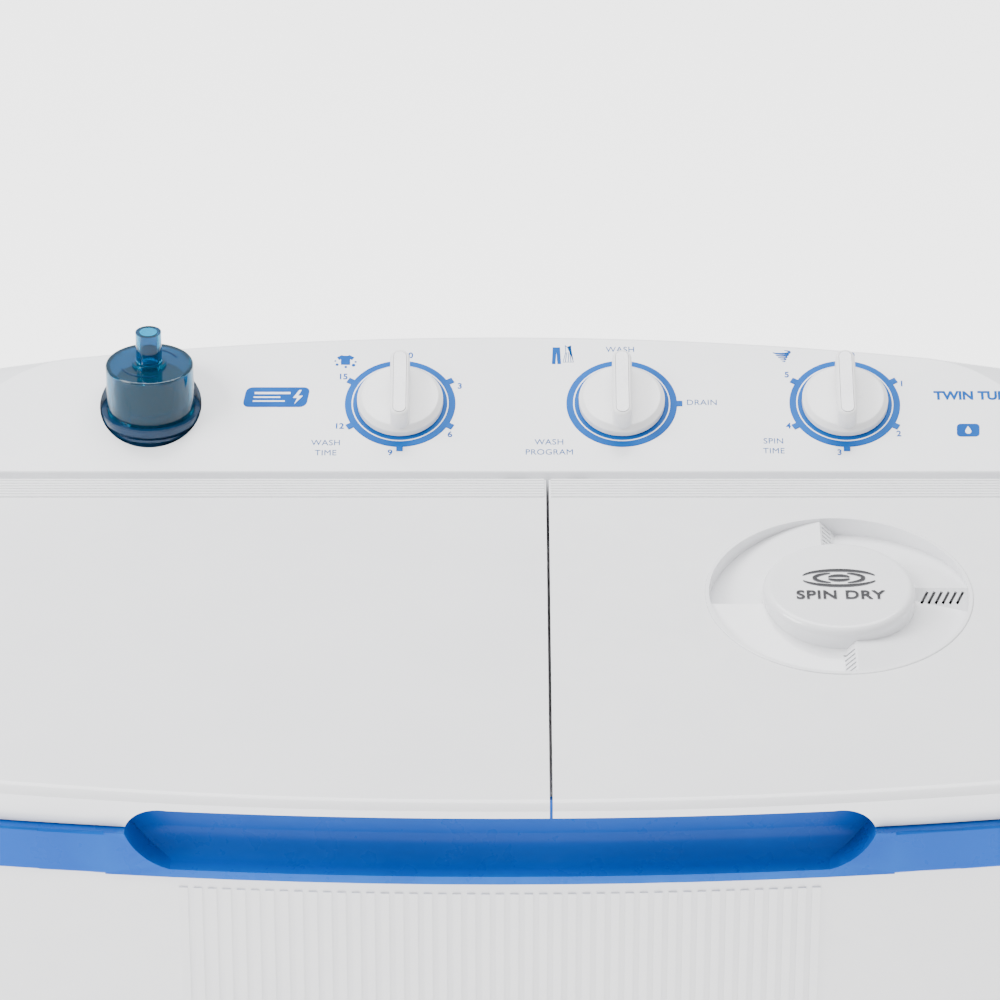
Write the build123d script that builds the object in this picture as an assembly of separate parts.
from build123d import *
import os
from math import sin, cos, tan, radians, degrees, sqrt, pi, atan2

os.makedirs("parts", exist_ok=True)

# Twin tub washer.  Millimetres, +Z up, front is -Y, +X is to the right when
# facing the front.  The parts are drawn with the rear wall at Y = 240 and moved
# as one at the end, so that the origin is the centre of the footprint, on the floor.

# ------------------------------------------------------------------ driving dimensions
W = 770.0                 # overall width
D = 464.0                 # overall depth
HX = W / 2
YB = 240.0
YF = YB - D
Y_CENTRE = (YF + YB) / 2  # taken off every part's Y on writing
BOW_R = 2380.0            # plan radius of the bowed front
CORNER = 40.0             # plan radius of the front corners
REAR_CORNER = 14.0
WALL = 2.5                # cabinet wall
Z_BASE = 30.0             # underside of the base
Z_CAB = 60.0              # bottom edge of the cabinet shell
Z_TRIM = 804.0            # underside of the coloured band, top of the cabinet
Z_DECK = 833.0            # top of the band and of the deck
HINGE_Y = 117.0           # rear edge line of the lids
HINGE_Z = 887.7
LID_TILT = 5.0            # lids fall towards the front
PANEL_TILT = 22.0         # control panel rises towards the back
PANEL_Y = 118.5
PANEL_Z = 888.2
PANEL_DEPTH = 111.0       # along the slope, at the middle
PANEL_BOW = 2205.0
SPLIT_X = 30.0            # line between the two lids
AX_Y, AX_Z = 103.5, 876.0 # lid hinge axis
GRIP_X = 221.0            # half width of the finger grip
KNOB_X = (-64.0, 78.0, 221.0)
KNOB_D = 55.8             # up the slope from the panel's front edge
INLET_X, INLET_D = -223.8, 55.0
WASH_C = (-172.5, -42.0)  # wash axis in plan
WASH_HX, WASH_HY = 177.5, 132.0   # half sizes of the wash tub's inside
SPIN_C = (208.0, -38.0)   # spin axis in plan
MOTOR_C = (-172.5, 110.0) # wash motor axis in plan

TL = tan(radians(LID_TILT))
SP, CP = sin(radians(PANEL_TILT)), cos(radians(PANEL_TILT))


def fy(x, inset=0.0):
    """Y of the bowed front at X, moved inwards by inset."""
    return YF + BOW_R - sqrt((BOW_R - inset) ** 2 - x * x)


def plan_face(inset=0.0, x0=None, x1=None, yb=None, rf=None, rb=None):
    """Plan outline: bowed front, straight sides and back, rounded corners."""
    x0 = -HX + inset if x0 is None else x0
    x1 = HX - inset if x1 is None else x1
    yb = YB - inset if yb is None else yb
    rf = (CORNER - inset, CORNER - inset) if rf is None else rf
    rb = (0, 0) if rb is None else rb
    a, b = (x0, fy(x0, inset)), (x1, fy(x1, inset))
    c, d = (x1, yb), (x0, yb)
    xm = (x0 + x1) / 2
    f = make_face([ThreePointArc(a, (xm, fy(xm, inset)), b).edge(), Line(b, c).edge(),
                   Line(c, d).edge(), Line(d, a).edge()])
    for pt, r in ((a, rf[0]), (b, rf[1]), (c, rb[1]), (d, rb[0])):
        if r > 0.5:
            v = f.vertices().sort_by_distance((pt[0], pt[1], 0))[0]
            f = fillet(v, r)
    return f


def prism(face, z0, z1):
    return Pos(0, 0, z0) * extrude(face, z1 - z0, dir=(0, 0, 1))


def box(x0, x1, y0, y1, z0, z1):
    return Pos((x0 + x1) / 2, (y0 + y1) / 2, (z0 + z1) / 2) * Box(abs(x1 - x0), abs(y1 - y0), abs(z1 - z0))


def cyl(x, y, z0, z1, r):
    return Pos(x, y, (z0 + z1) / 2) * Cylinder(r, z1 - z0)


def tube(x, y, z0, z1, ro, ri):
    return cyl(x, y, z0, z1, ro) - cyl(x, y, z0 - 1, z1 + 1, ri)


def cylx(x0, x1, y, z, r):
    return Pos((x0 + x1) / 2, y, z) * Rot(0, 90, 0) * Cylinder(r, x1 - x0)


def cyly(x, y0, y1, z, r):
    return Pos(x, (y0 + y1) / 2, z) * Rot(90, 0, 0) * Cylinder(r, y1 - y0)


def rrect(cx, cy, hx, hy, r, z0, z1):
    f = RectangleRounded(2 * hx, 2 * hy, r)
    return Pos(cx, cy, z0) * extrude(f, z1 - z0)


def one(shape):
    """Drop slivers that a cut may leave and keep the main solid."""
    s = sorted(shape.solids(), key=lambda q: -q.volume)
    return s[0]


nodes = {}


def put(name, *shapes):
    out = []
    for s in shapes:
        out += list(s.solids())
    nodes[name] = out


PANEL = Pos(0, PANEL_Y, PANEL_Z) * Rot(PANEL_TILT, 0, 0)
LIDP = Pos(0, HINGE_Y, HINGE_Z) * Rot(LID_TILT, 0, 0)


def on_panel(x, d, n=0.0):
    """Row position of a point d up the panel's slope and n above its surface."""
    return (x, PANEL_Y + d * CP - n * SP, PANEL_Z + d * SP + n * CP)


# ------------------------------------------------------------------ feet and base
FOOT_XY = [(-310, -165), (310, -165), (-320, 190), (320, 190)]
put("foot_pads", *[cyl(x, y, 0, 8, 19) - cyl(x, y, 5, 9, 8) for x, y in FOOT_XY])
put("feet", *[fillet((cyl(x, y, 8, Z_BASE, 22)).edges().group_by(Axis.Z)[0], 2) + cyl(x, y, 5, 9, 7.8)
              for x, y in FOOT_XY])

base = prism(plan_face(2.5, rb=(12, 12)), Z_BASE, Z_CAB) + prism(plan_face(5.3, rb=(12, 12)), Z_BASE, 120)
base -= prism(plan_face(9.0, rb=(6, 6)), Z_BASE + 5, 130)
for i in range(-7, 8):
    if i < 4:
        base -= box(i * 40 - 6, i * 40 + 6, -60, 150, Z_BASE - 1, Z_BASE + 6)
# outlet window for the drain hose, low on the left side
base -= box(-390, -370, 90, 160, 62, 125)
# towers under the three spin motor springs
SPRING_R = 88.0
SPR = [(SPIN_C[0] + SPRING_R * cos(radians(a)), SPIN_C[1] + SPRING_R * sin(radians(a))) for a in (90, 210, 330)]
for x, y in SPR:
    base += cyl(x, y, Z_BASE + 4, 52, 20)
    base += cyl(x, y, 51, 62, 6)
put("base_frame", one(base))

# ------------------------------------------------------------------ cabinet: bowed front panel, and sides with back
Y_SEAM = -150.0
cab = prism(plan_face(2.5, rb=(REAR_CORNER, REAR_CORNER)), Z_CAB, Z_TRIM)
cab -= prism(plan_face(5.0, rb=(REAR_CORNER - 2.5,) * 2), Z_CAB - 1, Z_TRIM + 1)
# fine vertical ribs on the front
RIB_N, RIB_P, RIB_W = 45, 8.5, 5.0
ribs = []
for i in range(RIB_N):
    x = (i - (RIB_N - 1) / 2) * RIB_P
    y = fy(x, 2.5)
    ribs.append(box(x - RIB_W / 2, x + RIB_W / 2, y - 1.1, y + 1.3, 118, 796))
front_panel = (cab & box(-400, 400, -300, Y_SEAM, 0, 900)) + ribs
put("cabinet_front", one(front_panel))
# side panels, and a rear panel with rounded corners, louvres, gland hole and screws
Y_REAR = 220.0
sides = cab & box(-400, 400, Y_SEAM, Y_REAR, 0, 900)
sides -= box(-390, -370, 90, 160, 55, 125)           # drain window
put("side_panels", *sorted(sides.solids(), key=lambda q: -q.volume)[:2])
rear = cab & box(-400, 400, Y_REAR, 300, 0, 900)
rear -= cyly(300, 225, 245, 640, 9.2)
for r in range(3):
    for c in range(8):
        cx = -252 + c * 72
        rear -= box(cx - 26, cx + 26, 225, 245, 420 + r * 30, 426 + r * 30)
put("rear_panel", one(rear))
SCREWS = [(x, z) for z in (90, 780) for x in (-340, -170, 0, 170, 340)] + [(sx * 355, z) for sx in (-1, 1) for z in (320, 550)]
put("panel_screws", *[cyly(x, 237.5, 238.8, z, 4.5) - box(x - 3.4, x + 3.4, 238.3, 241, z - 0.5, z + 0.5) for x, z in SCREWS])

# cord gland: bushing in the cabinet's rear wall
gl = cyly(300, 226, 237.5, 640, 9.0) + cyly(300, 237.5, 240, 640, 13) + cyly(300, 231.5, 234.8, 640, 11.5)
gl -= cyly(300, 220, 245, 640, 4.2)
put("cord_gland", gl)

# ------------------------------------------------------------------ coloured front band with grip scoop
def grip_profile(hw, z0, z1, rb, rt=0.0, flare=0.0):
    """Front elevation of the grip: wide flat slot with rounded lower corners."""
    f = make_face([ThreePointArc((hw, Z_DECK), (hw - 13.2, Z_DECK - 17.3), (hw - 45, z0)).edge(), Line((hw - 45, z0), (45 - hw, z0)).edge(),
                   ThreePointArc((45 - hw, z0), (13.2 - hw, Z_DECK - 17.3), (-hw, Z_DECK)).edge(), Line((-hw, Z_DECK), (-hw, z1)).edge(),
                   Line((-hw, z1), (hw, z1)).edge(), Line((hw, z1), (hw, Z_DECK)).edge()])
    return extrude(Plane(origin=(0, 0, 0), x_dir=(1, 0, 0), z_dir=(0, -1, 0)) * f, 270) - box(-400, 400, -150, 0, 700, 950)


band = prism(plan_face(0.0, yb=YB - 0.5, rb=(8, 8)), Z_TRIM, Z_DECK)
outer_edges = band.edges().filter_by(lambda e: abs(e.center().Z - Z_DECK) < 0.1 or abs(e.center().Z - Z_TRIM) < 0.1)
band = fillet(outer_edges, 1.6)
band -= prism(plan_face(14.0, yb=YB + 5, rb=(0, 0)), Z_TRIM - 1, Z_DECK + 1)
block = (prism(plan_face(0.0), Z_TRIM, 847.8) - prism(plan_face(27.5), Z_TRIM - 1, 860))
block = block & box(-GRIP_X - 12, GRIP_X + 12, -245, -150, Z_TRIM, 847.8)
block -= prism(plan_face(-5, yb=200), Z_DECK, 900) - prism(plan_face(11.0, yb=200), Z_DECK - 1, 901)
Z_SCOOP = 809.5
scoop = grip_profile(GRIP_X, Z_SCOOP, 880.0, 22.0)
# section of the scoop, turned about the axis of the bow: flat floor, rounded into the back wall
SR, SF = BOW_R - 24.0, 15.0
sec = make_face([Line((BOW_R + 30, Z_SCOOP), (SR + SF, Z_SCOOP)).edge(),
                 ThreePointArc((SR + SF, Z_SCOOP), (SR + SF * (1 - cos(pi / 4)), Z_SCOOP + SF * (1 - sin(pi / 4))), (SR, Z_SCOOP + SF)).edge(),
                 Line((SR, Z_SCOOP + SF), (SR, 885)).edge(), Line((SR, 885), (BOW_R + 30, 885)).edge(),
                 Line((BOW_R + 30, 885), (BOW_R + 30, Z_SCOOP)).edge()])
sec = Plane(origin=(0, 0, 0), x_dir=(1, 0, 0), z_dir=(0, -1, 0)) * sec
turned = Pos(0, YF + BOW_R, 0) * Rot(0, 0, -98) * revolve(sec, Axis.Z, 16)
scoop = scoop & turned
trim = band + block
trim = trim - scoop
put("front_trim", one(trim))

# ------------------------------------------------------------------ top deck
WX0, WX1 = WASH_C[0] - WASH_HX, WASH_C[0] + WASH_HX
WY0, WY1 = WASH_C[1] - WASH_HY, WASH_C[1] + WASH_HY
deck = prism(plan_face(14.3, yb=YB - 2.8, rb=(6, 6)), Z_DECK - 4, Z_DECK)
deck += rrect(*WASH_C, WASH_HX + 3, WASH_HY + 3, 68, Z_DECK - 4, Z_DECK + 6)
deck += cyl(*SPIN_C, Z_DECK - 4, Z_DECK + 6, 142)
deck -= rrect(*WASH_C, WASH_HX - 0.5, WASH_HY - 0.5, 64.5, Z_DECK - 10, Z_DECK + 10)
deck -= cyl(*SPIN_C, Z_DECK - 10, Z_DECK + 10, 138.5)
deck -= box(-GRIP_X - 12.5, GRIP_X + 12.5, -245, -150, Z_TRIM - 1, Z_DECK + 10) & prism(plan_face(0), 790, 860) - prism(plan_face(28.0), 780, 870)
deck -= cyl(INLET_X, PANEL_Y + INLET_D * CP, Z_DECK - 6, Z_DECK + 5, 24.5)
# hinge ears, two per lid
EARS = [(-352.0, -340.0), (4.0, 16.0), (44.0, 56.0), (340.0, 352.0)]
for a, b in EARS:
    ear = box(a, b, AX_Y - 7, AX_Y + 1.5, Z_DECK - 1, AX_Z) + cylx(a, b, AX_Y, AX_Z, 6.0)
    deck += ear
for a, b in EARS:
    deck -= cylx(a - 1, b + 1, AX_Y, AX_Z, 3.0)
put("top_deck", one(deck))
# hinge pins: each fixed in its ear and standing out to the inside of the lid's barrel
PINS = [(-352.0, -322.0), (-14.0, 16.0), (44.0, 74.0), (322.0, 352.0)]
put("lid_hinge_pins", *[cylx(a, b, AX_Y, AX_Z, 3.0) for a, b in PINS])
BARRELS = [(-339.5, -322.0), (-14.0, 3.5), (56.5, 74.0), (322.0, 339.5)]

# ------------------------------------------------------------------ lids
Z_LID0 = Z_DECK + 0.8
FOLD_X = 350.0


def lid_shape(x0, x1, inset, drop, z0, rf, round_r=0.0, yb=AX_Y + 13):
    s = prism(plan_face(0.6 + inset, x0=x0 + inset, x1=x1 - inset, yb=yb, rf=rf), z0, 910)
    s -= LIDP * Pos(0, -150, 40 - drop) * Box(900, 500, 80)
    if round_r:
        top = [e for e in s.edges() if e.center().Z > 850 and (e.center().Y < fy(e.center().X) + 30 or abs(e.center().X) > 370)
               and min((e @ 0).Z, (e @ 1).Z) > 845 and not (abs(e.center().X - SPLIT_X) < 3)]
        s = fillet(ShapeList(top), round_r)
    for sx in (-1, 1):
        t = make_face(Polyline((FOLD_X, 0), (FOLD_X + 60, -60 * tan(radians(27.5))), (FOLD_X + 60, 60), (FOLD_X, 60), close=True))
        t = extrude(Plane(origin=(0, 60, 0), x_dir=(1, 0, 0), z_dir=(0, -1, 0)) * t, 500)
        if sx < 0:
            t = mirror(t, Plane.YZ)
        s -= LIDP * Pos(0, 0, -drop) * t
    return s


def rib_strip(x0, x1):
    out = LIDP * Pos((x0 + x1) / 2, -16.4, 0.05) * Box(x1 - x0, 19.8, 0.7)
    for i in range(7):
        out += LIDP * Pos((x0 + x1) / 2, -7.6 - 2.9 * i, 0.4) * Box(x1 - x0, 1.5, 1.1)
    return out


def build_lid(x0, x1, rf, barrels, spin=False):
    s = lid_shape(x0, x1, 0.0, 0.0, Z_LID0, rf, 8.0)
    # rear edge rolled about the hinge axis
    s -= box(-400, 400, AX_Y, 140, 700, 920) - cylx(-401, 401, AX_Y, AX_Z, 13.0)
    s -= lid_shape(x0, x1, 3.0, 3.2, Z_LID0 - 5, (rf[0] - 3 if rf[0] else 2, rf[1] - 3 if rf[1] else 2)) - box(-400, 400, AX_Y, 140, 700, 920)
    s -= cylx(x0 + 3, x1 - 3, AX_Y, AX_Z, 10.2)
    s -= box(-400, 400, AX_Y - 8, 140, 700, AX_Z - 2)
    # finger notch under the front edge
    n = make_face([Line((-GRIP_X, 828), (GRIP_X, 828)).edge(), Line((GRIP_X, 828), (GRIP_X, Z_DECK)).edge(),
                   ThreePointArc((GRIP_X, Z_DECK), (213.7, 844.0), (196, 848.5)).edge(), Line((196, 848.5), (-196, 848.5)).edge(),
                   ThreePointArc((-196, 848.5), (-213.7, 844.0), (-GRIP_X, Z_DECK)).edge(), Line((-GRIP_X, Z_DECK), (-GRIP_X, 828)).edge()])
    n = extrude(Plane(origin=(0, 0, 0), x_dir=(1, 0, 0), z_dir=(0, -1, 0)) * n, 270) - box(-400, 400, -150, 0, 700, 950)
    s -= n
    # the front face leans inwards towards its lower edge
    s -= prism(plan_face(-6.0, yb=-100), Z_DECK - 2, 858) - lean_body(0.6)
    s += (lean_body(0.6) - lean_body(3.6)) & (lid_shape(x0, x1, 0.0, 0.5, Z_LID0, rf) & box(-400, 400, -300, -140, 0, 854)) - n
    xa, xb = (x0 + 1.2, x1 - 1.2)
    s += rib_strip(max(xa, -FOLD_X - 2), min(xb, FOLD_X + 2))
    # closed knuckle at the outer end, under the falling shoulder
    if x0 < -300:
        s += cylx(x0, -353.0, AX_Y, AX_Z, 12.5) & lid_shape(x0, x1, 0.0, 0.0, Z_LID0, rf)
    if x1 > 300:
        s += cylx(353.0, x1, AX_Y, AX_Z, 12.5) & lid_shape(x0, x1, 0.0, 0.0, Z_LID0, rf)
    for a, b in barrels:
        s += cylx(a, b, AX_Y, AX_Z, 7.0) + box(a, b, AX_Y - 7, AX_Y + 5, AX_Z, AX_Z + 8.6)
    for a, b in EARS:
        if a > x0 - 3 and b < x1 + 3:
            s -= cylx(a - 0.6, b + 0.6, AX_Y, AX_Z, 6.8)
            s -= box(a - 0.6, b + 0.6, AX_Y + 2, AX_Y + 14, AX_Z - 14, AX_Z + 6.5)
            s -= box(a - 0.6, b + 0.6, AX_Y - 14, AX_Y + 7, AX_Z - 60, AX_Z)
    for a, b in barrels:
        s -= cylx(a - 0.7, b + 0.7, AX_Y, AX_Z, 3.05)
    return s


def lean_body(inset):
    """What stays behind the lids' front face, which leans inwards at its foot."""
    low = Pos(0, 0, Z_DECK - 2) * plan_face(6.5 + inset, x0=-HX + inset, x1=HX - inset, yb=-100, rf=(CORNER - inset,) * 2)
    high = Pos(0, 0, 858) * plan_face(inset, x0=-HX + inset, x1=HX - inset, yb=-100, rf=(CORNER - inset,) * 2)
    return loft([low.faces()[0], high.faces()[0]], ruled=True)


wash_lid = build_lid(-HX + 0.6, SPLIT_X - 0.9, (CORNER, 0), BARRELS[:2])
spin_lid = build_lid(SPLIT_X + 0.9, HX - 0.6, (0, CORNER), BARRELS[2:], True)

# spin lid: round vent with four descending ramps, steps and slots, and a raised disc
VENT = Pos(208.6, HINGE_Y - 130 * cos(radians(LID_TILT)), HINGE_Z - 130 * sin(radians(LID_TILT))) * Rot(LID_TILT, 0, 0)
VENT_R, DISC_R, RAMP_K = 80.0, 47.0, 0.15
spin_lid = spin_lid - VENT * Cylinder(VENT_R + 2.6, 40)
ring = Pos(0, 0, -7.3) * Cylinder(VENT_R + 2.5, 16.2)
ring = fillet(ring.edges().group_by(Axis.Z)[-1], 0.7)
core = Pos(0, 0, -7) * Cylinder(DISC_R, 30)
annulus = Cylinder(VENT_R, 60) - Cylinder(DISC_R - 1, 61)
for q in range(4):
    w = make_face(Polyline((0, 0), (84, -84 * RAMP_K), (84, 30), (0, 30), close=True))
    w = extrude(Plane(origin=(0, 14, 0), x_dir=(1, 0, 0), z_dir=(0, -1, 0)) * w, 98)
    # the step at the end of a ramp is a sloping wall
    w -= Pos(0, -1.0, -11) * Rot(46, 0, 0) * Pos(42, 0, -25) * Box(120, 120, 50)
    ring -= (Rot(0, 0, 90 * q) * (w & annulus))
    # slots through the sloping wall
    for k in range(6):
        slot = Pos(53.0 + k * 4.4, 3.6, -5.2) * Rot(46, 0, 0) * Rot(0, 0, 0 if q in (1, 3) else -28) * Box(1.7, 8.6, 20)
        ring -= Rot(0, 0, 90 * q) * slot
ring -= core
ring -= Pos(0, 0, -14.3) * (Cylinder(VENT_R - 1, 3) - Cylinder(DISC_R + 3, 5))
put("spin_lid_vent", one(VENT * ring))
disc = Pos(0, 0, -3.0) * Cylinder(DISC_R - 0.05, 20)
disc = fillet(disc.edges().group_by(Axis.Z)[-1], 5.0)
disc -= Pos(0, 0, -6.5) * Cylinder(DISC_R - 4, 16)
put("spin_lid_disc", one(VENT * disc))
put("wash_lid", one(wash_lid))
put("spin_lid", one(spin_lid))

# ------------------------------------------------------------------ control console
def console_outline(hx, depth, y0, r):
    """Outline in the panel's plane: straight front, bowed rear, rounded rear corners."""
    def yr(x):
        return depth - (PANEL_BOW - sqrt(PANEL_BOW ** 2 - x * x))
    a, b, c, d = (-hx, y0), (hx, y0), (hx, yr(hx)), (-hx, yr(hx))
    f = make_face([Line(a, b).edge(), Line(b, c).edge(), ThreePointArc(c, (0, depth), d).edge(), Line(d, a).edge()])
    for pt in (c, d):
        f = fillet(f.vertices().sort_by_distance((pt[0], pt[1], 0))[0], r)
    return f


SHOULDER = 18.1


def console_shape(inset, z0):
    """Sloping panel, shoulders falling outwards, vertical walls below."""
    f = PANEL * Pos(0, 0, -inset) * console_outline(350.0 - inset * 0.6, PANEL_DEPTH - inset * 0.6, inset, 88.0 - inset)
    o = PANEL * Pos(0, 0, -SHOULDER - inset * 0.45) * console_outline(HX - inset, 123.72 - inset, -7.31 + inset * 1.2, 45.0 - inset)
    top = loft([f.faces()[0], o.faces()[0]], ruled=True)
    low = extrude(o.faces()[0], 130, dir=(0, 0, -1))
    s = top + low
    return s - box(-450, 450, 50, 300, 600, z0)


con = console_shape(0.0, Z_DECK)
try:
    rim = [e for e in con.edges() if e.center().Z > 885]
    con = fillet(ShapeList([e for e in rim if abs((PANEL.inverse() * Pos(*tuple(e.center()))).position.Z) < 0.3]), 1.5)
except Exception as err:
    print("console edge fillet skipped:", err)
con -= console_shape(3.0, Z_DECK - 5)
INLET_Y = PANEL_Y + INLET_D * CP
con -= cyl(INLET_X, INLET_Y, 870, 960, 32.6)
con += cyl(INLET_X, INLET_Y, 884, 960, 36.0) & console_shape(0.0, Z_DECK) - cyl(INLET_X, INLET_Y, 870, 960, 32.6)
for kx in KNOB_X:
    con -= PANEL * Pos(kx, KNOB_D, 0) * Cylinder(6.0, 20)
# cheeks beside the hinge, in line with the lids' falling sides
for sx in (-1, 1):
    ck = (lid_shape(SPLIT_X, HX - 0.6, 0.0, 0.3, Z_DECK, (0, 0), yb=PANEL_Y + 2) & box(353.0, HX - 0.6, AX_Y - 7.0, PANEL_Y + 1.5, Z_DECK, 890))
    ck -= cylx(300, 400, AX_Y, AX_Z, 13.6)
    con += mirror(ck, Plane.YZ) if sx < 0 else ck
# access opening in the rear wall, closed by the rear cover
con -= box(-130, 300, 200, 245, 846, 900)
put("console_housing", one(con))
cover = (console_shape(0.0, Z_DECK) & box(-129.5, 299.5, 200, 245, 846.5, 899.5)) - console_shape(2.6, Z_DECK - 5)
cover += box(-136, 306, 200, 232, 841, 905) & (console_shape(3.05, Z_DECK - 5) - console_shape(5.0, Z_DECK - 5))
put("console_rear_cover", one(cover))

# coloured dial rings with their index tabs
rings = []
for i, kx in enumerate(KNOB_X):
    g = Cylinder(35.5, 0.6) - Cylinder(20.0, 2)
    angs = {0: [30, 90, 150, 210, 270, 330], 1: [90], 2: [30 + 0, 90, 150, 210, 270, 330]}[i]
    angs = {0: [0, 60, 120, 180, 240, 300], 1: [0, 90], 2: [0, 60, 120, 180, 240, 300]}[i]
    for a in angs:
        g += Rot(0, 0, -a) * Pos(0, 37.0, 0) * Box(4.3, 4.0, 0.6)
    rings.append(PANEL * Pos(kx, KNOB_D, 0.3) * g)
put("dial_rings", *rings)

# timers under the panel, their shafts, the knobs and their metallic inserts
names = ["wash_timer", "program_switch", "spin_timer"]
knobs = ["wash_timer_knob", "program_knob", "spin_timer_knob"]
inserts = ["wash_knob_insert", "program_knob_insert", "spin_knob_insert"]
shafts = ["wash_timer_shaft", "program_shaft", "spin_timer_shaft"]
for i, kx in enumerate(KNOB_X):
    K = PANEL * Pos(kx, KNOB_D, 0)
    if i == 1:
        body = Pos(0, 0, -14.5) * Box(54, 44, 23) + Pos(0, 0, -28) * Box(40, 30, 6)
    else:
        body = Pos(0, 0, -15) * Cylinder(26, 24) + Pos(0, 0, -30) * Box(36, 30, 8)
    body = body + Pos(0, 0, -1.8) * Cylinder(5.6, 3.0)
    body -= Pos(0, 0, -8) * Cylinder(3.05, 30)
    put(names[i], one(K * body))
    shaft = Pos(0, 0, -3) * Cylinder(3.0, 36) - Pos(2.9, 0, 10) * Box(2, 8, 12)
    put(shafts[i], one(K * shaft))
    kn = Pos(0, 0, 3.2) * Cylinder(27.5, 4.0)                       # rim
    kn += Pos(0, 0, 6.8) * Cone(27.5, 24.6, 3.2)                    # shoulder up to the face
    kn = fillet(kn.edges().group_by(Axis.Z)[-1], 1.2)
    blade = Pos(0, 0, 8.3) * extrude(SlotOverall(54.0, 12.4), 14.4)
    blade = Rot(0, 0, 90) * blade
    blade = fillet(blade.edges().group_by(Axis.Z)[-1], 2.2)
    kn += blade
    pocket = Rot(0, 0, 90) * (Pos(0, 0, 22.1) * extrude(SlotOverall(50.2, 8.6), 3))
    kn -= pocket
    kn -= Pos(0, 0, 5) * Cylinder(3.0, 20)
    kn += Pos(2.45, 0, 9.5) * Box(1.05, 5.0, 9.0)
    put(knobs[i], one(K * kn))
    ins = Rot(0, 0, 90) * (Pos(0, 0, 22.1) * extrude(SlotOverall(50.0, 8.4), 0.9))
    ins = fillet(ins.edges().group_by(Axis.Z)[-1], 0.35)
    put(inserts[i], one(K * ins))

# ------------------------------------------------------------------ water inlet
CAP_TOP = on_panel(INLET_X, INLET_D)[2] + 30.3
CAP_Z0 = CAP_TOP - 32.5
ib = tube(INLET_X, INLET_Y, 866.0, CAP_Z0 - 4.2, 29.6, 20.0)
for k in range(4):
    ib += tube(INLET_X, INLET_Y, CAP_Z0 - 8.6 - k * 4.0, CAP_Z0 - 6.9 - k * 4.0, 31.0, 28.5)
ib += tube(INLET_X, INLET_Y, CAP_Z0 - 4.2, CAP_Z0 - 0.4, 31.8, 20.0)
ib += tube(INLET_X, INLET_Y, CAP_Z0 - 0.5, CAP_Z0 + 6, 23.0, 20.0)
put("inlet_base", one(ib))
cap = cyl(INLET_X, INLET_Y, CAP_Z0, CAP_TOP, 28.0)
cap = fillet(cap.edges().group_by(Axis.Z)[-1], 1.6)
cap += cyl(INLET_X, INLET_Y, CAP_TOP - 1, CAP_TOP + 22.6, 8.25)
cap += cyl(INLET_X, INLET_Y, CAP_TOP - 1, CAP_TOP + 2.2, 11.0)
cap -= cyl(INLET_X, INLET_Y, CAP_Z0 - 1, CAP_TOP - 2.6, 25.2)
cap -= cyl(INLET_X, INLET_Y, CAP_TOP - 5, CAP_TOP + 30, 5.6)
put("inlet_cap", one(cap))
duct = tube(INLET_X, INLET_Y, 797.0, 866.0, 24.0, 21.5)
chute = box(INLET_X - 24, INLET_X + 24, WY1 + 3.2, INLET_Y, 797.0, 821.0)
duct = duct + chute + cyl(INLET_X, INLET_Y, 797, 821, 24)
duct -= box(INLET_X - 21.5, INLET_X + 21.5, WY1 + 2, INLET_Y, 799.5, 818.5)
duct -= cyl(INLET_X, INLET_Y, 799.5, 870, 21.5)
put("inlet_duct", one(duct))

# ------------------------------------------------------------------ wash tub and its fittings
Z_WB = 444.0                 # wash tub floor, inside
tub = rrect(*WASH_C, WASH_HX + 3, WASH_HY + 3, 68, Z_WB - 4, Z_DECK - 4)
tub += rrect(*WASH_C, WASH_HX + 9, WASH_HY + 9, 74, Z_DECK - 8, Z_DECK - 4)
tub -= rrect(*WASH_C, WASH_HX, WASH_HY, 65, Z_WB, Z_DECK)
tub -= cyl(*WASH_C, Z_WB - 5, Z_WB + 1, 14.0)
DRAIN_C = (-312.0, -15.0)
tub -= cyl(*DRAIN_C, Z_WB - 5, Z_WB + 1, 19.0)
tub -= box(INLET_X - 21, INLET_X + 21, WY1 - 5, WY1 + 5, 799.5, 818.5)
put("wash_tub", one(tub))

# overflow cover: long grille on the tub's left wall, hooked over the drain
ov = box(WX0 + 0.3, WX0 + 26, -40, 10, Z_WB + 4, 760)
ov = fillet(ov.edges().filter_by(Axis.Z).group_by(Axis.X)[-1], 8)
ov -= box(WX0 + 0.2, WX0 + 23.5, -37.5, 7.5, Z_WB + 3, 757.5)
for k in range(14):
    ov -= box(WX0 + 20, WX0 + 30, -27, -3, 500 + k * 17, 507 + k * 17)
put("overflow_cover", one(ov))
# lint filter: framed pocket on the rear wall
lf = box(-210, -110, WY1 - 16, WY1 - 0.4, 640, 780)
lf = fillet(lf.edges().filter_by(Axis.Y), 12)
lf -= box(-203, -117, WY1 - 13.5, WY1 - 2.4, 647, 773)
for c in range(5):
    for r in range(7):
        lf -= box(-199 + c * 16.4, -199 + c * 16.4 + 12, WY1 - 20, WY1 - 12, 652 + r * 17, 652 + r * 17 + 12)
put("lint_filter", one(lf))

# pulsator: ribbed disc with hub
PUL_R = 122.0
pul = cyl(*WASH_C, Z_WB + 5, Z_WB + 11, PUL_R) + tube(*WASH_C, Z_WB + 4, Z_WB + 17, PUL_R, PUL_R - 4)
pul += Pos(*WASH_C, Z_WB + 16) * Cone(46, 26, 20)
for k in range(6):
    fin = Pos(74, 0, Z_WB + 10) * extrude(SlotOverall(92, 13), 26, taper=8)
    fin -= Pos(120, 0, Z_WB + 36) * Rot(0, 22, 0) * Box(100, 40, 20)
    pul += Pos(*WASH_C, 0) * Rot(0, 0, 60 * k) * fin
for k in range(24):
    a = radians(15 * k + 7.5)
    pul -= cyl(WASH_C[0] + 108 * cos(a), WASH_C[1] + 108 * sin(a), Z_WB, Z_WB + 14, 2.6)
pul -= cyl(*WASH_C, Z_WB - 2, Z_WB + 30, 6.0)
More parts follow.
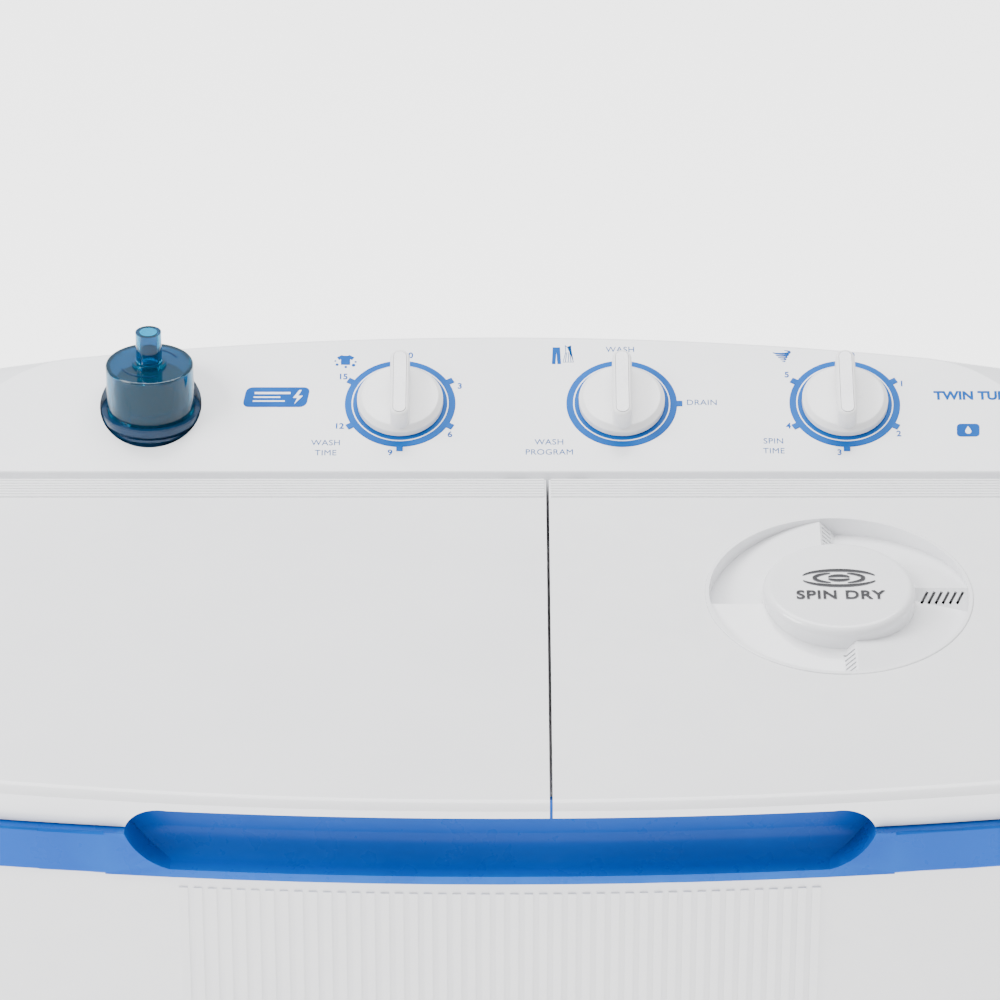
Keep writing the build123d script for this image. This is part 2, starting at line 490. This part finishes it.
pul -= cyl(*WASH_C, Z_WB + 22, Z_WB + 30, 11.0)
put("pulsator", one(pul))
scr = cyl(*WASH_C, Z_WB + 22, Z_WB + 25.4, 10.6) + cyl(*WASH_C, Z_WB + 10, Z_WB + 22, 2.5)
scr -= Pos(*WASH_C, Z_WB + 25) * Box(14, 1.6, 2.4)
put("pulsator_screw", one(scr))
Z_PU0, Z_PU1 = 372.0, 386.0      # pulley band
ws = cyl(*WASH_C, Z_PU0 - 8, Z_WB + 22, 6.0) - cyl(*WASH_C, Z_WB + 9.9, Z_WB + 23, 2.5)
put("wash_shaft", one(ws))
gc = cyl(*WASH_C, Z_WB - 12, Z_WB - 4, 62) + cyl(*WASH_C, 396, Z_WB - 12, 30) + cyl(*WASH_C, Z_WB - 4, Z_WB + 3, 13.8)
gc -= cyl(*WASH_C, 380, Z_WB + 10, 6.05)
put("wash_gearcase", one(gc))


def pulley(x, y, z0, z1, r, bore, hub, spokes=False):
    p = cyl(x, y, z0, z1, r)
    zc = (z0 + z1) / 2
    g = Pos(x, y, zc) * (Cylinder(r + 5, 9.0) - Cone(r - 7.0 + 2.0, r - 7.0 - 2.0, 4.5, align=(Align.CENTER, Align.CENTER, Align.MIN)) )
    p = tube(x, y, z0, z1, r, r - 12) + cyl(x, y, zc - 2, zc + 2, r - 8) + cyl(x, y, z0, z1, hub)
    p -= tube(x, y, zc - 4.2, zc + 4.2, r + 2, r - 6.0)
    if spokes:
        for k in range(5):
            a = radians(72 * k)
            p -= cyl(x + (r + hub - 12) / 2 * cos(a), y + (r + hub - 12) / 2 * sin(a), z0 - 1, z1 + 1, (r - 12 - hub) / 2 - 5)
    p -= cyl(x, y, z0 - 1, z1 + 1, bore)
    return p


PR, MR = 82.0, 24.0
put("wash_pulley", one(pulley(*WASH_C, Z_PU0, Z_PU1, PR, 6.0, 16, True)))
wmp = pulley(*MOTOR_C, Z_PU0, Z_PU1, MR, 5.0, 9.0)
put("wash_motor_pulley", one(wmp))
put("wash_motor_shaft", cyl(*MOTOR_C, 262, Z_PU1 + 2, 5.0))
# belt: two arcs and two tangent runs
dist = MOTOR_C[1] - WASH_C[1]


def belt_loop(r1, r2, z0, z1):
    s = (r1 - r2) / dist
    c = sqrt(1 - s * s)
    p1, p2 = (r1 * c, r1 * s), (r2 * c, dist + r2 * s)
    q1, q2 = (-r1 * c, r1 * s), (-r2 * c, dist + r2 * s)
    f = make_face([Line(p1, p2).edge(), ThreePointArc(p2, (0, dist + r2), q2).edge(), Line(q2, q1).edge(), ThreePointArc(q1, (0, -r1), p1).edge()])
    return Pos(WASH_C[0], WASH_C[1], z0) * extrude(f, z1 - z0)


zc = (Z_PU0 + Z_PU1) / 2
belt = belt_loop(PR - 0.6, MR - 0.6, zc - 3.7, zc + 3.7) - belt_loop(PR - 5.7, MR - 5.7, zc - 5, zc + 5)
put("wash_belt", one(belt))

# motor and its bracket, hung under the tub
mb = box(WASH_C[0] - 80, WASH_C[0] + 80, 30, 182, 352, 356)
mb -= cyl(*MOTOR_C, 340, 360, 16)
for dx in (-72, 72):
    for yy in (40, 78):
        mb += cyl(WASH_C[0] + dx, yy, 356, Z_WB - 4, 6)
mb = mb - cyl(*WASH_C, 366, 392, PR + 2)
put("motor_bracket", one(mb))
wm = cyl(*MOTOR_C, 262, 346, 58) + cyl(*MOTOR_C, 346, 352, 30) + cyl(*MOTOR_C, 252, 262, 34)
wm = fillet(wm.edges().filter_by(lambda e: abs(e.length - 2 * pi * 58) < 1), 4)
wm -= cyl(*MOTOR_C, 255, 360, 5.06)
put("wash_motor", one(wm))

# drain valve under the tub and the drain line to the outlet window
dv = tube(*DRAIN_C, 392, Z_WB - 4, 26, 22.5) + tube(*DRAIN_C, 384, 392, 26, 12.5) + tube(*DRAIN_C, 404, 408, 23, 13.0)
put("drain_valve_housing", one(dv))
pl = cyl(*DRAIN_C, 408.3, 416, 17.5) + cyl(*DRAIN_C, 416, Z_WB + 2, 4.0)
put("drain_valve_plug", one(pl))
DPX, DPY, DPZ = -312.0, 125.0, 93.0
dp = cyl(*DRAIN_C, 330, 384, 14.0)
dp += Pos(*DRAIN_C, 330) * Sphere(14.0)
L = DPY - DRAIN_C[1]
dp += Pos(DRAIN_C[0], (DRAIN_C[1] + DPY) / 2, 330 - L / 2) * Rot(45, 0, 0) * Cylinder(14.0, L * sqrt(2))
dp += Pos(DPX, DPY, 330 - L) * Sphere(14.0)
dp += cyl(DPX, DPY, DPZ, 330 - L, 14.0) + Pos(DPX, DPY, DPZ) * Sphere(14.0)
dp += cylx(-345, DPX, DPY, DPZ, 14.0) + cylx(-378, DPX, DPY, DPZ, 13.0)
dpi = cyl(*DRAIN_C, 330, 390, 11.5) + Pos(*DRAIN_C, 330) * Sphere(11.5)
dpi += Pos(DRAIN_C[0], (DRAIN_C[1] + DPY) / 2, 330 - L / 2) * Rot(45, 0, 0) * Cylinder(11.5, L * sqrt(2))
dpi += Pos(DPX, DPY, 330 - L) * Sphere(11.5) + cyl(DPX, DPY, DPZ, 330 - L, 11.5) + Pos(DPX, DPY, DPZ) * Sphere(11.5)
dpi += cylx(-380, DPX, DPY, DPZ, 10.5)
dp = dp - dpi
put("drain_pipe", one(dp))

# ------------------------------------------------------------------ spin tub, basket and drive
Z_SB = 474.0
sot = cyl(*SPIN_C, Z_SB - 4, Z_DECK - 4, 143) + cyl(*SPIN_C, Z_DECK - 8, Z_DECK - 4, 147)
sot -= cyl(*SPIN_C, Z_SB, Z_DECK, 140)
sot -= cyl(*SPIN_C, Z_SB - 10, Z_SB + 2, 30)
sot -= cyl(SPIN_C[0] - 90, SPIN_C[1] + 60, Z_SB - 10, Z_SB + 2, 10)
put("spin_outer_tub", one(sot))

BR, BZ0, BZ1 = 122.0, 500.0, 792.0
bk = tube(*SPIN_C, BZ0, BZ1, BR, BR - 1.8) + cyl(*SPIN_C, BZ0, BZ0 + 3, BR) + Pos(*SPIN_C, BZ0 + 13) * Cone(44, 24, 22)
bk += tube(*SPIN_C, BZ1 - 3, BZ1, BR + 3, BR - 1.8)
holes = []
for r in range(5):
    for c in range(6):
        holes.append(Pos(*SPIN_C, 545 + r * 50) * Rot(0, 0, 30 * c + 15 * (r % 2)) * Rot(0, 90, 0) * Cylinder(4.0, 2 * BR + 20))
keep = cyl(*SPIN_C, BZ0 - 1, BZ0 + 26, 45)
bk = bk - holes
for k in range(12):
    a = radians(30 * k)
    bk -= cyl(SPIN_C[0] + 84 * cos(a), SPIN_C[1] + 84 * sin(a), BZ0 - 1, BZ0 + 4, 4.0)
bk -= cyl(*SPIN_C, BZ0 - 2, BZ0 + 30, 8.0)
put("spin_basket", one(bk))
br = tube(*SPIN_C, BZ1 + 0.0, BZ1 + 26, BR + 3, BR - 16)
br = fillet(br.edges().filter_by(GeomType.CIRCLE).group_by(Axis.Z)[-1], 6)
put("balance_ring", br)
pc = cyl(*SPIN_C, 752, 756, 102) + tube(*SPIN_C, 748, 756, 102, 98)
for k in range(8):
    a = radians(45 * k)
    for rr in (50, 84):
        pc -= cyl(SPIN_C[0] + rr * cos(a), SPIN_C[1] + rr * sin(a), 745, 760, 7)
pc += Pos(*SPIN_C, 756) * extrude(SlotOverall(70, 14), 10)
pc -= Pos(*SPIN_C, 761) * Box(40, 30, 6)
pc = pc - Pos(*SPIN_C, 754) * Box(40, 10, 12)
put("spin_pressure_cover", one(pc))
Z_M0, Z_M1 = 128.0, 236.0
ss = cyl(*SPIN_C, Z_M0 + 12, BZ0 + 22, 8.0)
put("spin_shaft", ss)
drum = cyl(*SPIN_C, 268, 292, 40) - tube(*SPIN_C, 273, 293, 36, 16) - cyl(*SPIN_C, 260, 300, 8.0)
put("brake_drum", one(drum))
sm = cyl(*SPIN_C, Z_M0, Z_M1, 64) + cyl(*SPIN_C, Z_M1, Z_M1 + 10, 32) + cyl(*SPIN_C, Z_M0 - 8, Z_M0, 36)
sm = fillet(sm.edges().filter_by(lambda e: abs(e.length - 2 * pi * 64) < 1), 4)
for x, y in SPR:
    dx, dy = x - SPIN_C[0], y - SPIN_C[1]
    ang = degrees(atan2(dy, dx))
    sm += Pos(*SPIN_C, 130) * Rot(0, 0, ang) * (Pos(74, 0, 0) * Box(36, 26, 5)) + cyl(x, y, 127.5, 132.5, 17) + cyl(x, y, 119, 128, 6)
sm -= cyl(*SPIN_C, Z_M0 + 11, 300, 8.06)
for k in range(8):
    a = radians(45 * k + 22)
    sm -= cyl(SPIN_C[0] + 48 * cos(a), SPIN_C[1] + 48 * sin(a), Z_M1 - 3, Z_M1 + 1, 6)
BLX, BLY = SPIN_C[0] - 66.0, SPIN_C[1] + 65.0
BL_R = sqrt(66.0 ** 2 + 65.0 ** 2)
sm += Pos(*SPIN_C, Z_M1 + 2) * Rot(0, 0, degrees(atan2(65.0, -66.0))) * Pos((40 + BL_R) / 2, 0, 0) * Box(BL_R - 40, 22, 6)
sm += cyl(BLX, BLY, Z_M1 - 1, 300, 4.0) + cyl(BLX, BLY, Z_M1 - 1, 270, 11.0) + cyl(BLX, BLY, 290, 293, 7.0)
put("spin_motor", one(sm))
springs = []
for x, y in SPR:
    h = 60.0
    path = Helix(pitch=12.0, height=h, radius=11.0)
    coil = sweep(Plane(origin=path @ 0, z_dir=path % 0) * Circle(1.8), path=path, is_frenet=True)
    springs.append(Pos(x, y, 57.5) * coil + tube(x, y, 52.2, 58.0, 13, 8) + tube(x, y, 117.0, 127.3, 13, 8))
put("spin_motor_springs", *[one(s) for s in springs])
bel = tube(*SPIN_C, Z_SB - 8, Z_SB - 4, 44, 20) + tube(*SPIN_C, Z_SB - 4, Z_SB + 8, 29.8, 20)
bel += tube(*SPIN_C, Z_SB + 8, Z_SB + 12, 29.8, 8.6)
for k in range(4):
    z = Z_SB - 8 - 9 * (k + 1)
    bel += tube(*SPIN_C, z, z + 9.1, 34 - 6 * (k % 2), 25 - 5 * (k % 2))
bel += tube(*SPIN_C, Z_SB - 50, Z_SB - 43, 34, 8.6)
put("spin_bellows", one(bel))

# brake lever beside the drum: pivots on a post carried by an arm of the motor's end cover
bl = box(BLX - 7, BLX + 7, BLY - 118, BLY, 276, 284) + cyl(BLX, BLY, 272, 288, 10)
bl += box(BLX + 7, BLX + 21.0, SPIN_C[1] - 12, SPIN_C[1] + 12, 272, 288)
bl -= cyl(SPIN_C[0], SPIN_C[1], 260, 300, 44.0)
bl -= cyl(BLX, BLY, 260, 300, 4.05)
bl -= cyl(BLX, BLY - 110, 260, 300, 2.2)
put("brake_lever", one(bl))

# run capacitor on the base
cp = box(20, 70, 120, 150, Z_BASE + 5, Z_BASE + 75)
cp = fillet(cp.edges().filter_by(Axis.Z), 8) + box(24, 34, 131, 139, Z_BASE + 75, Z_BASE + 82) + box(56, 66, 131, 139, Z_BASE + 75, Z_BASE + 82)
put("capacitor", one(cp))

# ------------------------------------------------------------------ write one file per node
for name, solids in nodes.items():
    solids = [Pos(0, -Y_CENTRE, 0) * q for q in solids]
    shp = solids[0] if len(solids) == 1 else Compound(children=list(solids))
    export_step(shp, "parts/" + name + ".step")
